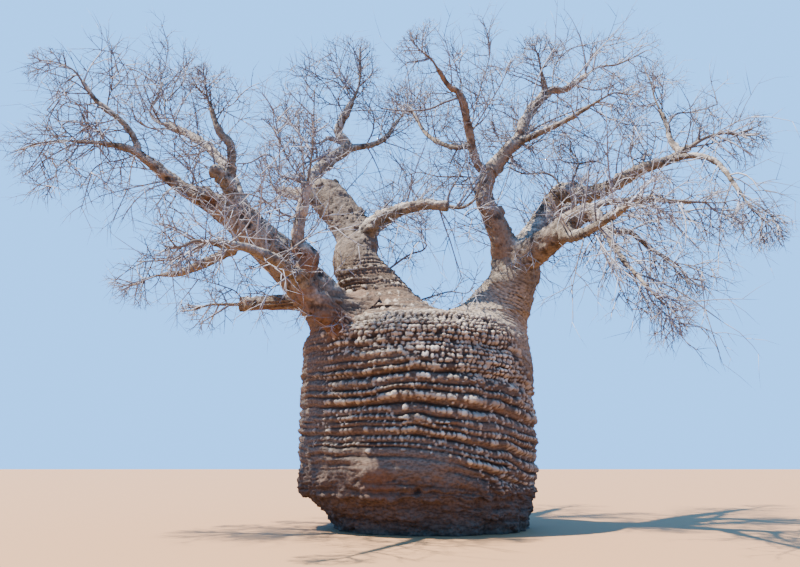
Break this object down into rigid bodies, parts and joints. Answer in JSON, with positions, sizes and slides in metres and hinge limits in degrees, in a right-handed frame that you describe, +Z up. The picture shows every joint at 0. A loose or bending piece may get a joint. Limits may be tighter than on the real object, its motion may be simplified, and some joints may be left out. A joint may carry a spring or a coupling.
{
  "type": "bare baobab tree",
  "caption": "Leafless baobab with a broad, creased and knobbly trunk that forks low down into two short stems carrying long tapering boughs that end in masses of bare twigs.",
  "frame": {"origin": "middle of the flat cut at ground level under the trunk", "axes": "+Z up the tree, +X to the right and +Y away as the tree is seen in the picture"},
  "size_m": [10.7731, 8.0191, 8.3466],
  "materials": {
    "trunk_bark": "creased, knobbly brown bark",
    "bough_bark": "rough grey-brown bark, smoother and tan underneath",
    "twigs": "pale grey twig bark"
  },
  "bodies": {
    "root": {"trunk": "trunk_bark", "left_stem": "bough_bark", "right_stem": "bough_bark", "left_arm": "bough_bark", "left_up": "bough_bark", "left_low": "bough_bark", "left_shoulder": "bough_bark", "left_rise": "bough_bark", "left_stub": "bough_bark", "left_upright": "bough_bark", "front_limb": "bough_bark", "front_left": "bough_bark", "top_left": "bough_bark", "top_left_reach": "bough_bark", "centre_bough": "bough_bark", "back_left": "bough_bark", "back_mid": "bough_bark", "tall_limb": "bough_bark", "tall_left": "bough_bark", "tall_left_side": "bough_bark", "tall_right": "bough_bark", "tall_right_low": "bough_bark", "tall_fan": "bough_bark", "back_tall": "bough_bark", "right_arm": "bough_bark", "right_back": "bough_bark", "back_right": "bough_bark", "right_up": "bough_bark", "right_droop": "bough_bark", "right_mid": "bough_bark", "right_low": "bough_bark", "right_hang": "bough_bark", "front_right": "bough_bark", "twigs_left_arm": "twigs", "twigs_left_up": "twigs", "twigs_left_low": "twigs", "twigs_left_shoulder": "twigs", "twigs_left_rise": "twigs", "twigs_left_upright": "twigs", "twigs_front_limb": "twigs", "twigs_top_left": "twigs", "twigs_top_left_reach": "twigs", "twigs_centre_bough": "twigs", "twigs_tall_left": "twigs", "twigs_tall_left_side": "twigs", "twigs_tall_right": "twigs", "twigs_tall_right_low": "twigs", "twigs_tall_fan": "twigs", "twigs_right_up": "twigs", "twigs_right_back": "twigs", "twigs_right_droop": "twigs", "twigs_right_mid": "twigs", "twigs_right_low": "twigs", "twigs_right_hang": "twigs", "twigs_back_left": "twigs", "twigs_back_mid": "twigs", "twigs_back_right": "twigs", "twigs_back_tall": "twigs", "twigs_front_right": "twigs", "twigs_front_left": "twigs"}
  },
  "joints": []
}
